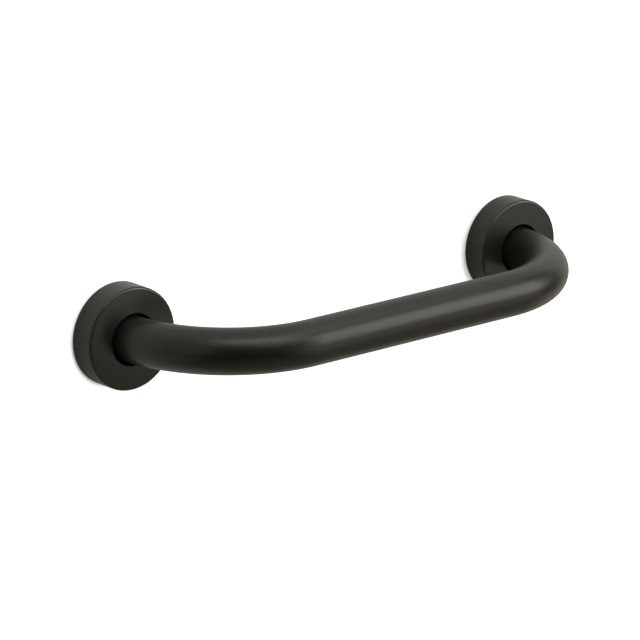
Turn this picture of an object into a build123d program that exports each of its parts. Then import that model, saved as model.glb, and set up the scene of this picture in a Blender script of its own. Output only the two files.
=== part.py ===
from build123d import *
from math import sqrt
import os

# Grab bar for a bathroom wall: one bent tube, welded to a flange at each end,
# with a round cover snapped over each flange to hide the screws.
# The wall is the plane y = 0, the bar stands out to -Y, X runs along the grip and Z is up.
# The origin lies on the wall, midway between the two legs.

# Bent tube
span = 355.0  # leg to leg, on centre
reach = 101.0  # wall to the middle of the grip
tube_dia = 32.0
tube_wall = 1.5
bend_radius = 88.0  # on the tube's centre line
tube_setback = 0.5  # the tube's ends stop this far short of the wall

# Covers
cover_dia = 72.0
cover_depth = 19.0  # wall to the front edge
cover_crown = 2.0  # rise of the crowned face from its edge to where its middle would be
cover_wall = 0.8
cover_edge_radius = 1.5
hole_gap = 2.1  # free space all round the tube in the cover's hole
hole_edge_radius = 0.6

# Flanges
flange_thickness = 3.0
flange_clearance = 0.2  # flange rim to the inside of the cover's skirt
front_bevel = 0.5
bore_clearance = 0.1
weld_leg = 3.0
screw_count = 3
screw_hole_dia = 6.5
screw_hole_chamfer = 0.5
screw_seat_angle = 90.0

# Snap bead inside the cover's skirt
bead_height = 0.45
bead_setback = 0.1  # the bead starts this far from the wall
bead_play = 0.4  # how far the cover can be drawn off before the bead catches the flange

tube_radius = tube_dia / 2
cover_radius = cover_dia / 2
skirt_radius = cover_radius - cover_wall
flange_radius = skirt_radius - flange_clearance
rim_bevel = bead_setback + 2 * bead_height + bead_play - flange_clearance
crown_radius = (cover_radius**2 + cover_crown**2) / (2 * cover_crown)
hole_radius = tube_radius + hole_gap
hole_height = cover_depth + cover_crown - crown_radius + sqrt(crown_radius**2 - hole_radius**2)
weld_radius = tube_radius + weld_leg
screw_circle_radius = (weld_radius + flange_radius) / 2

os.makedirs("parts", exist_ok=True)

# Bent tube: a ring carried along the two legs, the two bends and the straight grip
with BuildPart() as bar_tube:
    with BuildLine() as route:
        FilletPolyline(
            (-span / 2, -tube_setback),
            (-span / 2, -reach),
            (span / 2, -reach),
            (span / 2, -tube_setback),
            radius=bend_radius,
        )
    with BuildSketch(Plane(origin=route.line @ 0, x_dir=(1, 0, 0), z_dir=route.line % 0)):
        Circle(tube_radius)
        Circle(tube_radius - tube_wall, mode=Mode.SUBTRACT)
    sweep(path=route.line)
bar_tube.part.label = "bar_tube"
export_step(bar_tube.part, "parts/bar_tube.step")

for side, leg_x in (("left", -span / 2), ("right", span / 2)):
    wall_plane = Plane(origin=(leg_x, 0, 0), x_dir=(1, 0, 0), z_dir=(0, -1, 0))
    leg_section = Plane(origin=(leg_x, 0, 0), x_dir=(1, 0, 0), z_dir=(0, 0, -1))
    leg_axis = Axis((leg_x, 0, 0), (0, -1, 0))

    # Flange: a bevelled disc turned in one profile with the weld bead that joins it to the tube
    with BuildPart() as flange:
        with BuildSketch(leg_section):
            with BuildLine():
                Polyline(
                    (tube_radius + bore_clearance, 0),
                    (flange_radius - rim_bevel, 0),
                    (flange_radius, rim_bevel),
                    (flange_radius, flange_thickness - front_bevel),
                    (flange_radius - front_bevel, flange_thickness),
                    (weld_radius, flange_thickness),
                    (tube_radius, flange_thickness + weld_leg),
                    (tube_radius, flange_thickness),
                    (tube_radius + bore_clearance, flange_thickness),
                    close=True,
                )
            make_face()
        revolve(axis=leg_axis)
        with Locations(wall_plane.offset(flange_thickness)):
            with PolarLocations(screw_circle_radius, screw_count, start_angle=90):
                CounterSinkHole(
                    screw_hole_dia / 2,
                    screw_hole_dia / 2 + screw_hole_chamfer,
                    depth=flange_thickness,
                    counter_sink_angle=screw_seat_angle,
                )
    flange.part.label = f"{side}_flange"
    export_step(flange.part, f"parts/{side}_flange.step")

    # Cover: a drawn sheet cup with a crowned face round the tube's hole and a snap bead inside its mouth
    with BuildPart() as cover:
        with BuildSketch(leg_section) as cup_section:
            with BuildLine() as cup_line:
                Line((cover_radius, 0), (cover_radius, cover_depth))
                RadiusArc((cover_radius, cover_depth), (hole_radius, hole_height), -crown_radius)
                fillet(cup_line.vertices().sort_by(Axis.Y)[1], cover_edge_radius)
                offset(amount=cover_wall, side=Side.LEFT)
            make_face()
            fillet(cup_section.vertices().sort_by(Axis.Y)[-1], hole_edge_radius)
        revolve(axis=leg_axis)
        with BuildSketch(leg_section):
            with BuildLine():
                Polyline(
                    (skirt_radius, bead_setback),
                    (skirt_radius - bead_height, bead_setback + bead_height),
                    (skirt_radius, bead_setback + 2 * bead_height),
                    close=True,
                )
            make_face()
        revolve(axis=leg_axis)
    cover.part.label = f"{side}_cover"
    export_step(cover.part, f"parts/{side}_cover.step")
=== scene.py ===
import math

import bpy
import numpy as np
from mathutils import Matrix, Vector


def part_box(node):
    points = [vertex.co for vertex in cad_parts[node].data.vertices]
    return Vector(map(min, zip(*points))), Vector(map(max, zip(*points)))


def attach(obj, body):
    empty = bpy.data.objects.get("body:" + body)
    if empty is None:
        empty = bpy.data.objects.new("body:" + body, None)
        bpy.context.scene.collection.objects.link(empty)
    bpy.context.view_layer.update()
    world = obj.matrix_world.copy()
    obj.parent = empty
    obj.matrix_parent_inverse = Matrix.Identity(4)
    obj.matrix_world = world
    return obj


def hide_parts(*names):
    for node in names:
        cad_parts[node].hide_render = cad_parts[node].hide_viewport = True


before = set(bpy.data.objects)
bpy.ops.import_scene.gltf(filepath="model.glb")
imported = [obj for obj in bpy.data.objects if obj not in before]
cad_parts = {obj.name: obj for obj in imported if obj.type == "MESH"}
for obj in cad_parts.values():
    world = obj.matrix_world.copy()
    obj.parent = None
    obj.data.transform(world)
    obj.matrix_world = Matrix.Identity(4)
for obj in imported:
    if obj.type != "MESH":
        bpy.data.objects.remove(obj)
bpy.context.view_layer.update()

tubeLow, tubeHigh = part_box("bar_tube")
coverLow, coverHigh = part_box("right_cover")
print("frame loaded:", sorted(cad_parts))


# Shader maths and nodes

class Shade:  # a shader value; + - * / ** and abs on it add Math nodes
    def __init__(self, finish, socket):
        self.finish = finish
        self.socket = socket

    def output(self, name):  # another output of the same node
        return Shade(self.finish, self.socket.node.outputs[name])

    def calc(self, operation, first, second=0.0):
        return self.finish.add("Math", {"operation": operation}, {0: first, 1: second})

    def below(self, edge):  # 1 where this value is under the edge, 0 elsewhere
        return self.calc("LESS_THAN", self, edge)

    def __add__(self, other):
        return self.calc("ADD", self, other)

    def __radd__(self, other):
        return self.calc("ADD", other, self)

    def __sub__(self, other):
        return self.calc("SUBTRACT", self, other)

    def __rsub__(self, other):
        return self.calc("SUBTRACT", other, self)

    def __mul__(self, other):
        return self.calc("MULTIPLY", self, other)

    def __rmul__(self, other):
        return self.calc("MULTIPLY", other, self)

    def __truediv__(self, other):
        return self.calc("DIVIDE", self, other)

    def __rtruediv__(self, other):
        return self.calc("DIVIDE", other, self)

    def __pow__(self, other):
        return self.calc("POWER", self, other)

    def __rpow__(self, other):
        return self.calc("POWER", other, self)

    def __abs__(self):
        return self.calc("ABSOLUTE", self)


class Finish:  # a node tree, and the one method that adds nodes to it
    def __init__(self, tree):
        self.tree = tree
        self.tree.nodes.clear()

    def add(self, kind, settings=None, inputs=None):
        node = self.tree.nodes.new("ShaderNode" + kind)
        for key, value in (settings or {}).items():
            setattr(node, key, value)
        for key, value in (inputs or {}).items():
            if isinstance(value, Shade):
                self.tree.links.new(value.socket, node.inputs[key])
            else:
                node.inputs[key].default_value = value
        return Shade(self, node.outputs[0]) if node.outputs else None

    def place(self):  # where a point lies, in metres
        return self.add("TexCoord").output("Object")

    def split(self, place):  # its x, with outputs Y and Z beside it
        return self.add("SeparateXYZ", {}, {0: place})

    def noise(self, place, size, detail):  # cloudy values from 0 to 1, with spots of that size in metres
        return self.add("TexNoise", {}, {"Vector": place, "Scale": 1 / size, "Detail": detail})

    def blend(self, share, first, second):  # one colour over another
        return self.add("Mix", {"data_type": "RGBA"}, {0: share, 6: first, 7: second}).output(2)

    def limit(self, value):  # held between 0 and 1
        return self.add("Clamp", {}, {"Value": value, "Min": 0.0, "Max": 1.0})

    def openness(self, reach, towards, samples):
        # 1 where nothing stands within reach on the side of that direction, less where something does
        facing = self.add("CombineXYZ", {}, dict(enumerate(towards)))
        sight = self.add("AmbientOcclusion", {"samples": samples}, {"Distance": reach, "Normal": facing})
        return sight.output("AO")


def newFinish(name):
    material = bpy.data.materials.new(name)
    material.use_nodes = True
    return material, Finish(material.node_tree)


# Dark bronze coat: a satin lacquer over blackened metal, warm in the shadows

coatSet = {
    "deep": (0.0102, 0.0094, 0.0077),  # the coat's darkest and lightest patches
    "light": (0.0138, 0.0129, 0.0107),
    "gloss": (1.0, 0.965, 0.88, 1.0),  # the tint of its reflections
    "patchSize": 0.045,
    "patchDetail": 3.0,
    "roughnessSpread": 0.05,
    "grainSize": 0.0016,
    "peelSize": 0.0005,
    "fineDetail": 2.0,  # of grain, peel and rubbed patches
    "peelDepth": 0.000012,
    "rubbed": (0.108, 0.1, 0.088, 1.0),  # bronze that shows where the coat is rubbed thin
    "rubbedRoughness": 0.3,
    "rubbedPatch": 0.012,
}


def coatFinish(name, sheen, lift=1.0, edgeOf=None):
    # sheen is the coat's roughness, lift makes its colour lighter as painted light, edgeOf gives where it
    # is rubbed thin
    material, finish = newFinish(name)
    place = finish.place()
    patches = finish.noise(place, coatSet["patchSize"], coatSet["patchDetail"])
    grain = finish.noise(place, coatSet["grainSize"], coatSet["fineDetail"])
    peel = finish.noise(place, coatSet["peelSize"], coatSet["fineDetail"])
    # a lift above 1 lightens the coat as painted light
    deep, light = [tuple(lift * part for part in coatSet[key]) + (1.0,) for key in ("deep", "light")]
    colour = finish.blend(patches, deep, light)
    roughness = sheen + coatSet["roughnessSpread"] * (grain + patches - 1.0)
    metal = 0.0
    if edgeOf:
        metal = edgeOf(finish, place)
        colour = finish.blend(metal, colour, coatSet["rubbed"])
        roughness = roughness + metal * (coatSet["rubbedRoughness"] - sheen)
    relief = {"Strength": 1.0, "Distance": coatSet["peelDepth"], "Height": peel + grain}
    skin = finish.add(
        "BsdfPrincipled",
        {},
        {
            "Base Color": colour,
            "Roughness": roughness,
            "Metallic": metal,
            "Specular Tint": coatSet["gloss"],
            "Normal": finish.add("Bump", {}, relief),
        },
    )
    finish.add("OutputMaterial", {}, {"Surface": skin})
    return material


# Bare steel inside the tube, dull and faintly mottled

steelSet = {
    "dark": (0.19, 0.185, 0.18, 1.0),
    "light": (0.34, 0.335, 0.325, 1.0),
    "roughness": 0.46,
    "roughnessSpread": 0.1,
    "mottleSize": 0.004,
    "mottleDetail": 4.0,
    "mottleDepth": 0.00003,
    "mottleStrength": 0.4,
}


def steelFinish(name):
    material, finish = newFinish(name)
    mottle = finish.noise(finish.place(), steelSet["mottleSize"], steelSet["mottleDetail"])
    relief = {"Strength": steelSet["mottleStrength"], "Distance": steelSet["mottleDepth"], "Height": mottle}
    skin = finish.add(
        "BsdfPrincipled",
        {},
        {
            "Base Color": finish.blend(mottle, steelSet["dark"], steelSet["light"]),
            "Roughness": steelSet["roughness"] + steelSet["roughnessSpread"] * mottle,
            "Metallic": 1.0,
            "Normal": finish.add("Bump", {}, relief),
        },
    )
    finish.add("OutputMaterial", {}, {"Surface": skin})
    return material


# Meshes from grids of points

def gridPiece(name, points, materials, rowMaterial=None):
    # points is rows x columns x 3, closed both ways: the last row joins the first, and so do the columns
    rows, columns = points.shape[:2]
    index = np.arange(rows * columns).reshape(rows, columns)
    nextRow = np.roll(index, -1, axis=0)
    corners = [index, nextRow, np.roll(nextRow, -1, axis=1), np.roll(index, -1, axis=1)]
    quads = np.stack(corners, axis=-1).reshape(-1, len(corners)).astype(np.int32)
    mesh = bpy.data.meshes.new(name)
    mesh.vertices.add(rows * columns)
    mesh.vertices.foreach_set("co", points.astype(np.float32).ravel())
    mesh.loops.add(quads.size)
    mesh.loops.foreach_set("vertex_index", quads.ravel())
    mesh.polygons.add(len(quads))
    mesh.polygons.foreach_set("loop_start", np.arange(0, quads.size, len(corners), dtype=np.int32))
    for material in materials:
        mesh.materials.append(material)
    if rowMaterial is not None:
        mesh.polygons.foreach_set("material_index", np.repeat(rowMaterial, columns).astype(np.int32))
    mesh.update(calc_edges=True)
    mesh.shade_smooth()
    piece = bpy.data.objects.new(name, mesh)
    bpy.context.scene.collection.objects.link(piece)
    print("made", name, "with", len(quads), "faces")
    return piece


def roundedLoop(corners, radii, steps, support):
    # each corner of a closed outline becomes an arc between its two tangent points,
    # with a support point just before the arc and one just after it
    radii = radii[:, None]
    before = np.roll(corners, 1, axis=0) - corners
    after = np.roll(corners, -1, axis=0) - corners
    before /= np.linalg.norm(before, axis=1, keepdims=True)
    after /= np.linalg.norm(after, axis=1, keepdims=True)
    inside = np.arccos((before * after).sum(1, keepdims=True))  # angle between the two sides
    reachBack = radii / np.tan(inside / 2)
    middle = before + after
    middle *= radii / np.sin(inside / 2) / np.linalg.norm(middle, axis=1, keepdims=True)
    turn = (math.pi - inside)[:, None]
    share = np.linspace(0, 1, steps + 1)[None, :, None]
    first = (before * reachBack - middle)[:, None]
    last = (after * reachBack - middle)[:, None]
    arc = (np.sin((1 - share) * turn) * first + np.sin(share * turn) * last) / np.sin(turn)
    arc += (corners + middle)[:, None]
    lead = (corners + before * (reachBack + support))[:, None]
    trail = (corners + after * (reachBack + support))[:, None]
    return np.concatenate([lead, arc, trail], axis=1).reshape(-1, 2)


def fillLong(outline, step):
    # a closed outline with its long sides split into equal parts no longer than the step
    side = np.roll(outline, -1, axis=0) - outline
    parts = np.ceil(np.linalg.norm(side, axis=1) / step).astype(int)
    which = np.repeat(np.arange(len(outline)), parts)
    share = (np.arange(len(which)) - (np.cumsum(parts) - parts)[which]) / parts[which]
    return outline[which] + share[:, None] * side[which]


# Bent tube

barSet = {
    "bendRadius": 0.088,  # on the centre line
    "wall": 0.0015,
    "endBevel": 0.0002,
    "legSteps": 4,
    "bendStep": math.radians(1.5),
    "gripStep": 0.012,
    "around": 128,
    "coatRoughness": 0.34,
}
tubeRadius = (tubeHigh.z - tubeLow.z) / 2
halfSpan = tubeHigh.x - tubeRadius
setback = -tubeHigh.y
legLength = -tubeLow.y - tubeRadius - barSet["bendRadius"] - setback
bendLength = barSet["bendRadius"] * math.pi / 2
halfLength = legLength + bendLength + halfSpan - barSet["bendRadius"]


def alongBar(distance):
    # centre and outward direction at a distance from the left end:
    # a straight leg, a quarter circle and half the grip, then the same mirrored
    side = np.sign(distance - halfLength)
    fromEnd = halfLength - np.abs(distance - halfLength)
    angle = np.clip((fromEnd - legLength) / barSet["bendRadius"], 0, math.pi / 2)
    onLeg = np.minimum(fromEnd, legLength)
    onGrip = np.maximum(fromEnd - legLength - bendLength, 0)
    across = halfSpan - barSet["bendRadius"] * (1 - np.cos(angle)) - onGrip
    out = -setback - onLeg - barSet["bendRadius"] * np.sin(angle)
    flat = np.zeros_like(out)
    centre = np.stack([side * across, out, flat], axis=-1)
    outward = np.stack([side * np.cos(angle), -np.sin(angle), flat], axis=-1)
    return centre, outward


def makeBar(coat, steel):
    # a ring carried along the centre line, out along the tube's skin and back along its bore,
    # as one closed grid: centre + radius x (cosine x outward + sine x up)
    bevel = barSet["endBevel"]
    bendSteps = round(math.pi / 2 / barSet["bendStep"])
    gripSteps = round((halfLength - legLength - bendLength) / barSet["gripStep"])
    half = np.concatenate(
        [
            [0, bevel, 2 * bevel],
            np.linspace(2 * bevel, legLength, barSet["legSteps"] + 1)[1:-1],
            legLength + np.linspace(0, bendLength, bendSteps + 1),
            np.linspace(legLength + bendLength, halfLength, gripSteps + 1)[1:],
        ]
    )
    stations = np.concatenate([half, 2 * halfLength - half[-2::-1]])
    skin = np.full(len(stations), tubeRadius)
    skin[[0, -1]] -= bevel
    bore = np.full(len(stations), tubeRadius - barSet["wall"])
    bore[[0, -1]] += bevel
    distance = np.concatenate([stations, stations[::-1]])
    radius = np.concatenate([skin, bore[::-1]])[:, None, None]
    centre, outward = alongBar(distance)
    angle = np.linspace(0, 2 * math.pi, barSet["around"], endpoint=False)[None, :, None]
    up = np.array([0.0, 0.0, 1.0])
    points = centre[:, None] + radius * (np.cos(angle) * outward[:, None] + np.sin(angle) * up)
    inBore = np.arange(len(distance)) >= len(stations) - 1
    bar = gridPiece("grabBar", points, [coat, steel], inBore)
    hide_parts("bar_tube")
    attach(bar, "root")


# Covers

coverSet = {
    "depth": 0.019,  # from the wall to the front edge
    "crown": 0.002,  # how far the face would rise from that edge to its middle
    "wall": 0.0008,
    "frontRound": 0.0015,
    "innerRound": 0.0007,
    "holeGap": 0.0021,
    "holeRound": 0.0006,
    "rimRound": 0.0001,
    "mouthRound": 0.00005,  # the two small corners between bead and rim
    "lipRound": 0.000025,
    "beadHeight": 0.00045,
    "beadSetback": 0.0001,
    "cornerSteps": 6,
    "cornerSupport": 0.00003,
    "step": 0.0016,
    "around": 256,
    "coatRoughness": 0.3,
    "coatPaintedLight": 1.6,  # painted light: the covers' coat, the same as the bar's, is made this much lighter
    "flangeRoughness": 0.5,
    "rubbedIn": 0.7,  # the rubbed ring's place, in from the skirt, as a share of frontRound
    "rubbedWidth": 0.00034,
    "rubbedCore": 1.6,  # above 1, the ring is fully rubbed over part of its width
    "rubbedFront": 3.0,  # how sharply the rubbing ends behind the front edge
    "rubbedContrast": 2.4,  # of its patches
    "rubbedSpare": 0.55,  # how much of the ring they leave whole
}
coverRadius = (coverHigh.z - coverLow.z) / 2


def fromLegAxis(split):
    # distance from the nearer leg's axis: the root of (|x| - half the span) squared plus z squared
    fromLeg = abs(split) - halfSpan
    return (fromLeg * fromLeg + split.output("Z") ** 2.0) ** 0.5


def rubbedEdge(finish, place):
    # 1 on a fine ring where the cover's front edge rounds over into its face and 0 away from it,
    # broken up by patches
    split = finish.split(place)
    ring = coverRadius - coverSet["rubbedIn"] * coverSet["frontRound"]
    offRing = abs(fromLegAxis(split) - ring) / coverSet["rubbedWidth"]
    onRing = coverSet["rubbedCore"] - coverSet["rubbedCore"] * offRing
    nearFront = (0.0 - split.output("Y") - coverSet["depth"]) / coverSet["frontRound"] + 1.0
    patches = finish.noise(place, coatSet["rubbedPatch"], coatSet["fineDetail"])
    worn = coverSet["rubbedContrast"] * patches - coverSet["rubbedSpare"]
    return finish.limit(onRing) * finish.limit(coverSet["rubbedFront"] * nearFront) * finish.limit(worn)


def makeCover(side, centreX, coat):
    # a drawn cup's section, its face raised by crown x (1 - (radius / outer) squared), is turned about
    # the leg's axis: x = centre + radius x cosine, y = minus the distance from the wall, z = radius x sine
    outer, inner = coverRadius, coverRadius - coverSet["wall"]
    hole = tubeRadius + coverSet["holeGap"]
    front, back = coverSet["depth"], coverSet["depth"] - coverSet["wall"]
    beadLow = coverSet["beadSetback"]
    beadTip = beadLow + coverSet["beadHeight"]
    beadTop = beadTip + coverSet["beadHeight"]
    rim = coverSet["rimRound"]
    section = np.array(  # distance from the axis, distance from the wall, rounding
        [
            (outer, 0, rim),
            (outer, front, coverSet["frontRound"]),
            (hole, front, coverSet["holeRound"]),
            (hole, back, rim),
            (inner, back, coverSet["innerRound"]),
            (inner, beadTop, rim),
            (inner - coverSet["beadHeight"], beadTip, rim),
            (inner, beadLow, coverSet["mouthRound"]),
            (inner, 0, coverSet["lipRound"]),
        ]
    )
    loop = roundedLoop(section[:, :2], section[:, 2], coverSet["cornerSteps"], coverSet["cornerSupport"])
    loop = fillLong(loop, coverSet["step"])
    rise = coverSet["crown"] * (1 - (loop[:, 0] / outer) ** 2)
    onFace = loop[:, 1] > front / 2  # the half of the section nearer the face
    loop[:, 1] += np.where(onFace, rise, 0)
    angle = np.linspace(0, 2 * math.pi, coverSet["around"], endpoint=False)[None]
    radius, out = loop[:, :1], loop[:, 1:]
    points = np.stack([centreX + radius * np.cos(angle), -out + 0 * angle, radius * np.sin(angle)], axis=-1)
    cover = gridPiece(side + "CoverCup", points[::-1], [coat])  # rows reversed: faces point outwards
    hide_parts(side + "_cover")
    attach(cover, "root")


barCoat = coatFinish("dark bronze coat on the bar", barSet["coatRoughness"])
# the covers get the bar's coat made lighter, as painted light on them
coverCoat = coatFinish(
    "dark bronze coat on the covers", coverSet["coatRoughness"], coverSet["coatPaintedLight"], rubbedEdge
)
flangeCoat = coatFinish("dark bronze coat on the flanges", coverSet["flangeRoughness"])
tubeSteel = steelFinish("bare steel in the tube")
print("coats and steel mixed")
makeBar(barCoat, tubeSteel)
for side, centreX in (("left", -halfSpan), ("right", halfSpan)):
    makeCover(side, centreX, coverCoat)
    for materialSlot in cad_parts[side + "_flange"].material_slots:
        materialSlot.material = flangeCoat


# Directions: a bearing from straight ahead, with right positive, and a height, both in degrees

def direction(bearing, height):
    turn, lift = math.radians(bearing), math.radians(height)
    return Vector((math.sin(turn) * math.cos(lift), -math.cos(turn) * math.cos(lift), math.sin(lift)))


def lookingFrom(back):  # the turn of a lamp or camera that stands in that direction and looks in
    return (-back).to_track_quat("-Z", "Y")


# Stage: a pale wall that is seen only from its front, and a pale floor well below the bar

stageSet = {
    "pale": (0.7, 0.7, 0.69, 1.0),
    "paintedShadeBelow": (0.63, 0.585, 0.46, 1.0),  # painted shade and warm bounce light: the paint is darker and warmer below the bar
    "paleTurn": 0.05,  # how far above and below the bar the one turns into the other
    "glow": 1.0,  # what wall and floor add to their own shade where they are seen
    "glowGain": 1.15,  # above 1, the glow is whole up to close by the covers
    "wallShare": (0.255, 0.152),  # how much of it the wall shows in reflections, at the left and right leg
    "floorShare": (0.12, 0.12),  # the same for the floor
    "shareFade": 3.0,  # how fast the left share falls off to the right
    "contact": (0.0035, 0.0085),  # reach of the painted contact shadow where the left and right covers meet the wall
    "contactFrom": (47, 12),  # bearing and height of the light that this painted shadow turns away from
    "shadeReach": 0.022,  # reach of the softer shade round the covers that shows only in reflections
    "shadeFrom": (47, 50),
    "shadeSamples": 16,
    "wallGap": 0.0002,  # how far the wall stands before the covers' rims, so that no faces coincide
    "wallSize": 5.0,
    "floorDrop": 2.4,
    "worldLight": (0.03, 0.03, 0.03, 1.0),
}


def stagePlane(name, corners, material):
    mesh = bpy.data.meshes.new(name)
    mesh.from_pydata(corners, [], [(0, 1, 2, 3)])
    mesh.materials.append(material)
    plane = bpy.data.objects.new(name, mesh)
    bpy.context.scene.collection.objects.link(plane)


def paleFinish(name, glossShare):
    # pale paint that also glows where it is seen, less so close to the covers as a painted shadow;
    # it is clear from behind and over the tube's bore
    material, finish = newFinish(name)
    split = finish.split(finish.place())
    fromLeft = finish.limit(split / (2 * halfSpan) + 0.5)
    upward = finish.limit(split.output("Z") / (2 * stageSet["paleTurn"]) + 0.5)
    onLeft, onRight = stageSet["contact"]
    reach = onLeft + (onRight - onLeft) * fromLeft
    samples = stageSet["shadeSamples"]
    # painted contact shadow: less glow where a cover stands close by
    contact = finish.openness(reach, direction(*stageSet["contactFrom"]), samples)
    shade = finish.openness(stageSet["shadeReach"], direction(*stageSet["shadeFrom"]), samples)
    leftShare, rightShare = glossShare
    share = rightShare + (leftShare - rightShare) * (1.0 - fromLeft) ** stageSet["shareFade"]
    seen = finish.add("LightPath")  # by the camera
    mirrored = seen.output("Is Glossy Ray") + seen.output("Is Transmission Ray")
    glowing = finish.limit((seen * contact + mirrored * share * shade) * stageSet["glowGain"])
    # painted shade: darker, warmer paint below the bar
    colour = finish.blend(upward, stageSet["paintedShadeBelow"], stageSet["pale"])
    paint = finish.add("BsdfDiffuse", {}, {"Color": colour})
    glow = finish.add("Emission", {}, {"Strength": stageSet["glow"]})
    lit = finish.add("AddShader", {}, {0: paint, 1: glow})
    front = finish.add("MixShader", {}, {0: glowing, 1: paint, 2: lit})
    overBore = fromLegAxis(split).below(tubeRadius - barSet["wall"])
    behind = finish.add("NewGeometry").output("Backfacing")
    clear = finish.add("BsdfTransparent")
    skin = finish.add("MixShader", {}, {0: finish.limit(behind + overBore), 1: front, 2: clear})
    finish.add("OutputMaterial", {}, {"Surface": skin})
    return material


def makeStage():
    half, gap, drop = stageSet["wallSize"] / 2, stageSet["wallGap"], stageSet["floorDrop"]
    wall = [(-half, -gap, -drop), (half, -gap, -drop), (half, -gap, half), (-half, -gap, half)]
    floor = [(-half, -2 * half, -drop), (half, -2 * half, -drop), (half, -gap, -drop), (-half, -gap, -drop)]
    stagePlane("paleWall", wall, paleFinish("pale wall paint", stageSet["wallShare"]))
    stagePlane("paleFloor", floor, paleFinish("pale floor paint", stageSet["floorShare"]))
    world = bpy.data.worlds.new("studio")
    bpy.context.scene.world = world
    world.use_nodes = True
    finish = Finish(world.node_tree)
    seen = finish.add("LightPath")  # by the camera
    white = finish.add("Background", {}, {"Color": (1.0, 1.0, 1.0, 1.0), "Strength": 1.0})
    dim = finish.add("Background", {}, {"Color": stageSet["worldLight"], "Strength": 1.0})
    sky = finish.add("MixShader", {}, {0: seen, 1: dim, 2: white})
    finish.add("OutputWorld", {}, {"Surface": sky})
    print("stage set")


# Lamps: soft boxes, with bearing and height in degrees, and distance and size in metres

lampSet = {
    "key": {"bearing": 49, "height": 19, "away": 2.2, "size": (1.5, 1.4), "light": 2.62},
    "bridge": {"bearing": 20, "height": 46, "away": 2.0, "size": (0.8, 0.7), "light": 0.95},
    "front": {"bearing": -8, "height": 40, "away": 2.0, "size": (0.9, 0.7), "light": 0.92},
    "upper": {"bearing": -10, "height": 60, "away": 2.0, "size": (1.5, 0.6), "light": 2.15},
    "upperLeft": {"bearing": -60, "height": 52, "away": 2.0, "size": (1.0, 0.9), "light": 0.43},
    "top": {"bearing": 0, "height": 78, "away": 2.0, "size": (1.8, 0.9), "light": 0.63},
    "right": {"bearing": 66, "height": 54, "away": 2.0, "size": (0.9, 0.8), "light": 1.05, "warm": 0.3},
    "left": {"bearing": -75, "height": 12, "away": 2.0, "size": (1.0, 1.4), "light": 0.22},
    "leftNear": {"bearing": -70, "height": 20, "away": 0.9, "size": (0.4, 0.6), "light": 0.2},
    "leftLow": {"bearing": -82, "height": -22, "away": 1.0, "size": (0.55, 0.4), "light": 0.3},
    "nearFill": {"bearing": 20, "height": 0, "away": 0.9, "size": (0.3, 0.4), "light": 0.52},
    "nearLow": {"bearing": 34, "height": -24, "away": 1.0, "size": (0.5, 0.25), "light": 0.38, "warm": 0.8},
    "keyLow": {"bearing": 40, "height": -13, "away": 2.0, "size": (1.6, 0.6), "light": 0.54, "warm": 0.4},
    "low": {"bearing": 50, "height": -38, "away": 2.0, "size": (1.2, 0.6), "light": 0.18, "warm": 1.0},
    "lowRight": {"bearing": 84, "height": -28, "away": 1.3, "size": (0.7, 0.5), "light": 0.38, "warm": 0.6},
    "rear": {"bearing": 180, "height": 20, "away": 2.0, "size": (1.8, 1.8), "light": 2.5},
}
lampTarget = Vector((0.0, -0.06, 0.0))
lampPower = 4.0  # watts for each square metre of a lamp whose light is 1
warmLoss = (0.0, 0.1, 0.34)  # what a lamp of warm 1 lacks in red, green and blue


def makeLamp(name, settings):
    lamp = bpy.data.lights.new(name, "AREA")
    lamp.shape = "RECTANGLE"
    lamp.size, lamp.size_y = settings["size"]
    lamp.energy = lampPower * settings["light"] * lamp.size * lamp.size_y
    lamp.color = [1.0 - settings.get("warm", 0.0) * loss for loss in warmLoss]
    back = direction(settings["bearing"], settings["height"])
    holder = bpy.data.objects.new(name, lamp)
    holder.location = lampTarget + settings["away"] * back
    holder.rotation_euler = lookingFrom(back).to_euler()
    holder.visible_camera = False
    bpy.context.scene.collection.objects.link(holder)


# Camera, at the photograph's viewing angle

cameraSet = {
    "bearing": -40.135,
    "height": 16.877,
    "roll": 0.211,
    "away": 2.49146,
    "target": (-0.02237, -0.03, -0.0138),
    "lens": 201.008,
    "sensorWidth": 36.0,
    "clip": (0.1, 20.0),
}


def makeCamera():
    data = bpy.data.cameras.new("camera")
    data.sensor_width = cameraSet["sensorWidth"]
    data.lens = cameraSet["lens"]
    data.clip_start, data.clip_end = cameraSet["clip"]
    back = direction(cameraSet["bearing"], cameraSet["height"])
    roll = Matrix.Rotation(math.radians(cameraSet["roll"]), 3, "Z")
    camera = bpy.data.objects.new("camera", data)
    camera.location = Vector(cameraSet["target"]) + cameraSet["away"] * back
    camera.rotation_euler = (lookingFrom(back).to_matrix() @ roll).to_euler()
    bpy.context.scene.collection.objects.link(camera)
    bpy.context.scene.camera = camera


makeStage()
for lampName, lampValues in lampSet.items():
    makeLamp(lampName + "Lamp", lampValues)
makeCamera()
bpy.context.scene.view_settings.view_transform = "Standard"
print("lamps and camera placed")
